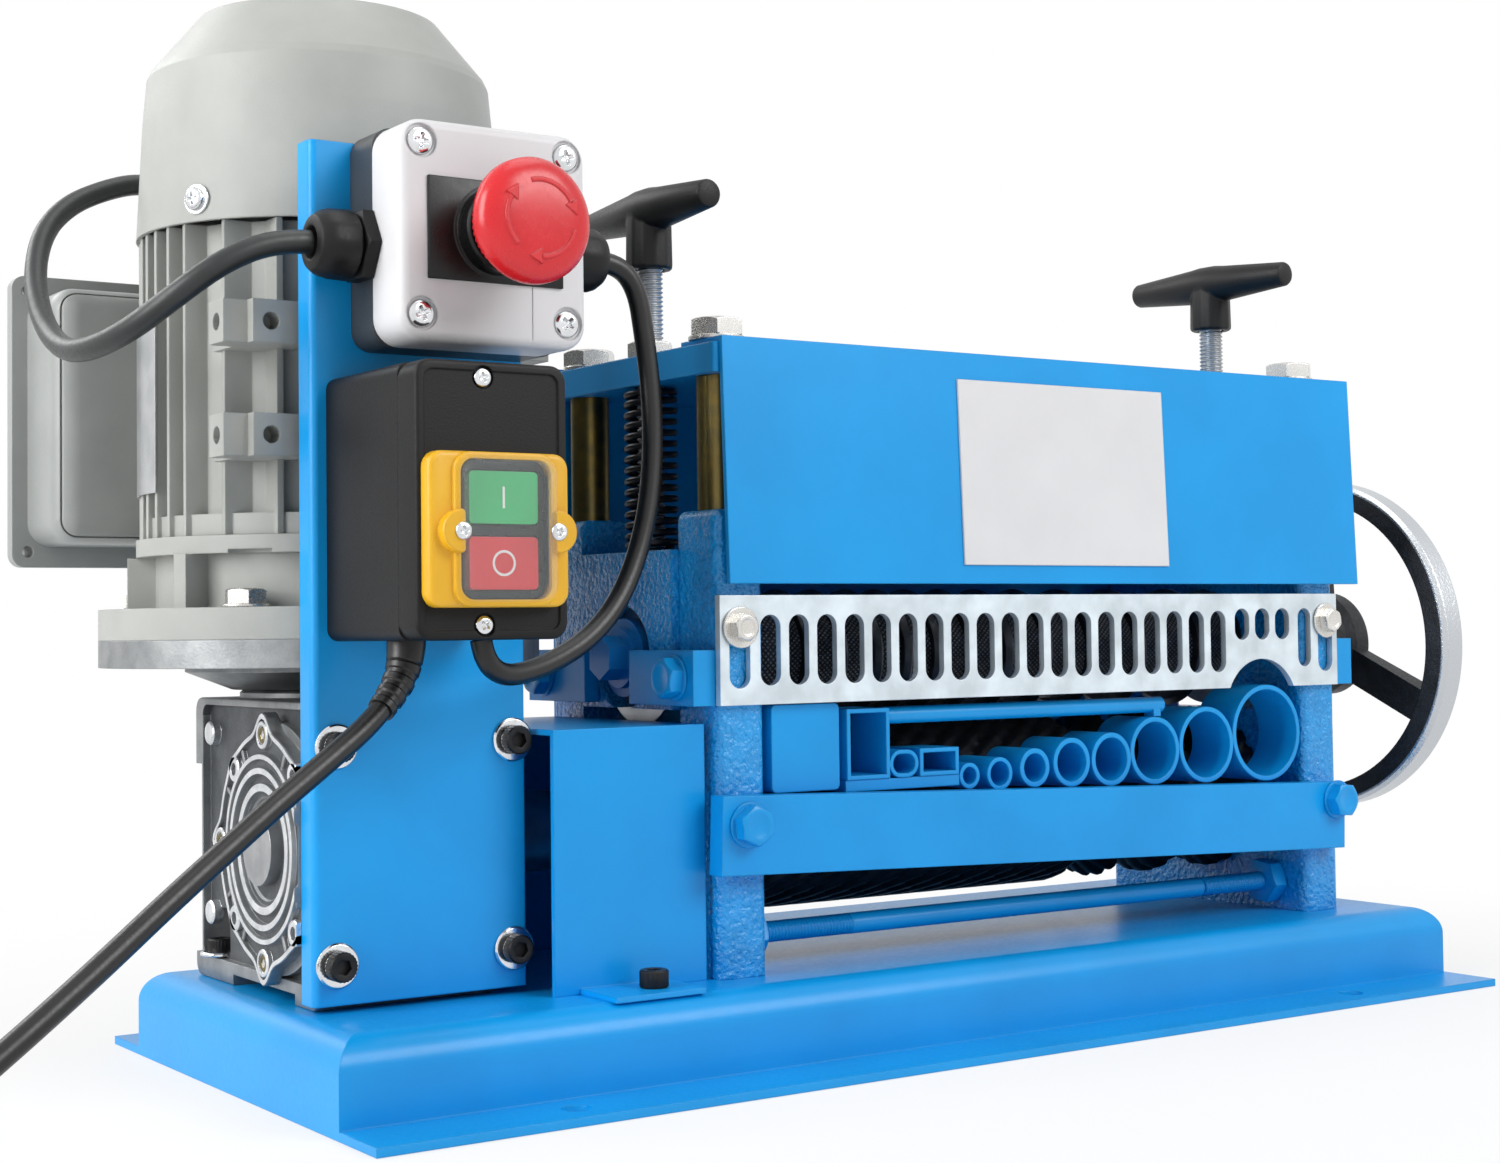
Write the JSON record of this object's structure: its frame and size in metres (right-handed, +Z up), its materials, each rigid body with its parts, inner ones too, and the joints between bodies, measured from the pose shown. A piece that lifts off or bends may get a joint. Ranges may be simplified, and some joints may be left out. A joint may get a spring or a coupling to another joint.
{
  "type": "wire stripping machine",
  "caption": "Bench wire stripping machine: a motor and worm gearbox drive a feed roller under a shaft of blade discs, with a row of cable inlets, screw-set blades, handwheel and boxes.",
  "frame": {"origin": "on the bench, under the middle of the base tray", "axes": "+Z up, -Y toward the operator and the cable inlets, +X toward the handwheel, along the shafts"},
  "size_m": [0.8632, 0.2953, 0.3854],
  "materials": {
    "blue_paint": "smooth blue paint",
    "cast_blue": "blue paint over rough casting",
    "zinc": "bright zinc plate",
    "yellow_zinc": "yellow zinc plate on steel",
    "steel": "machined steel",
    "tool_steel": "ground tool steel",
    "black_steel": "black oxide",
    "cast_aluminium": "die-cast aluminium",
    "bronze": "bronze",
    "motor_grey": "grey paint",
    "box_grey": "dark grey paint",
    "copper_pack": "laminated core with copper windings",
    "black_plastic": "black plastic",
    "grey_plastic": "grey plastic",
    "white_plastic": "off-white plastic",
    "red_plastic": "glossy red plastic",
    "yellow_plastic": "yellow plastic",
    "green_plastic": "green plastic",
    "clear_plastic": "clear plastic flap",
    "cord_rubber": "black cord sheath",
    "label_sheet": "printed plate, left bare of text"
  },
  "bodies": {
    "frame": {"base_tray": "blue_paint", "side_plate_left": "cast_blue", "side_plate_right": "cast_blue", "top_plate": "blue_paint", "spacer_tubes": "yellow_zinc", "head_covers": "blue_paint", "label_plate": "label_sheet", "keeper_bars": "blue_paint", "lower_bearings": "steel", "pressure_springs": "steel", "front_bar": "blue_paint", "guide_tubes": "blue_paint", "guide_block": "blue_paint", "tie_rod": "blue_paint", "bolts_and_nuts": "zinc", "drive_guard": "blue_paint", "panel_bracket": "blue_paint", "gearbox_housing": "cast_aluminium", "gearbox_covers": "cast_aluminium", "motor_adapter": "cast_aluminium", "motor_end_bell": "motor_grey", "motor_body": "motor_grey", "stator": "copper_pack", "fan_cowl": "motor_grey", "terminal_box": "box_grey", "terminal_lid": "box_grey", "run_capacitor": "white_plastic", "stop_base": "grey_plastic", "stop_lid": "white_plastic", "switch_base": "black_plastic", "switch_lid": "black_plastic", "switch_bezel": "yellow_plastic", "switch_cover": "clear_plastic", "cap_screws": "zinc", "cable_glands": "black_plastic", "motor_lead": "cord_rubber", "link_lead": "cord_rubber", "mains_lead": "cord_rubber", "mains_coil": "cord_rubber", "mains_plug": "black_plastic"},
    "slot_plate_body": {"slot_plate": "zinc"},
    "blade_carriage": {"bearing_blocks": "cast_blue", "upper_bearings": "steel"},
    "blade_roller": {"blade_shaft": "steel", "blade_discs": "tool_steel", "spacer_rings": "tool_steel", "upper_gear": "steel", "handwheel": "black_steel"},
    "feed_drive": {"lower_shaft": "steel", "feed_roller": "tool_steel", "lower_gear": "steel", "worm_wheel": "bronze"},
    "motor_shaft": {"motor_rotor": "steel", "worm": "steel"},
    "left_screw": {"t_handle_left": "black_plastic"},
    "right_screw": {"t_handle_right": "black_plastic"},
    "stop_stem": {"stop_plunger": "black_plastic"},
    "stop_cap": {"stop_button": "red_plastic"},
    "start_key": {"green_button": "green_plastic"},
    "stop_key": {"red_button": "red_plastic"}
  },
  "joints": [
    {"name": "feed_spin", "type": "hinge", "parent": "frame", "child": "feed_drive", "pos_m": [-0.102, -0.0055, 0.083], "axis": [1, 0, 0], "continuous": true},
    {"name": "motor_spin", "type": "hinge", "parent": "frame", "child": "motor_shaft", "pos_m": [-0.208, 0.039, 0.2], "axis": [0, 0, 1], "continuous": true},
    {"name": "blade_lift", "type": "slide", "parent": "frame", "child": "blade_carriage", "axis": [0, 0, 1], "range_m": [0, 0.00525], "deforming": ["pressure_springs"]},
    {"name": "blade_spin", "type": "hinge", "parent": "blade_carriage", "child": "blade_roller", "pos_m": [-0.102, -0.0055, 0.146], "axis": [1, 0, 0], "continuous": true},
    {"name": "left_screw_turn", "type": "hinge", "parent": "blade_carriage", "child": "left_screw", "pos_m": [-0.0915, -0.0055, 0.3], "axis": [0, 0, 1], "range_deg": [0, 1080]},
    {"name": "right_screw_turn", "type": "hinge", "parent": "blade_carriage", "child": "right_screw", "pos_m": [0.2125, -0.0055, 0.3], "axis": [0, 0, 1], "range_deg": [0, 1080]},
    {"name": "slot_plate_lift", "type": "slide", "parent": "frame", "child": "slot_plate_body", "axis": [0, 0, 1], "range_m": [0, 0.011]},
    {"name": "stop_push", "type": "slide", "parent": "frame", "child": "stop_stem", "axis": [0, 1, 0], "range_m": [0, 0.004], "stiffness_N_per_m": 1500, "springref_m": -0.004},
    {"name": "stop_twist", "type": "hinge", "parent": "stop_stem", "child": "stop_cap", "pos_m": [-0.199, -0.096, 0.2885], "axis": [0, 1, 0], "range_deg": [0, 35], "stiffness_Nm_per_rad": 0.05, "springref_deg": -11.46},
    {"name": "green_push", "type": "slide", "parent": "frame", "child": "start_key", "axis": [0, 1, 0], "range_m": [0, 0.003], "stiffness_N_per_m": 600, "springref_m": -0.003},
    {"name": "red_push", "type": "slide", "parent": "frame", "child": "stop_key", "axis": [0, 1, 0], "range_m": [0, 0.003], "stiffness_N_per_m": 600, "springref_m": -0.003}
  ],
  "couplings": [
    {"joint": "blade_spin", "follows": "feed_spin", "ratio": -1},
    {"joint": "motor_spin", "follows": "feed_spin", "ratio": -30},
    {"joint": "left_screw_turn", "follows": "blade_lift", "rad_per_m": 3590.4},
    {"joint": "right_screw_turn", "follows": "blade_lift", "rad_per_m": 3590.4}
  ]
}
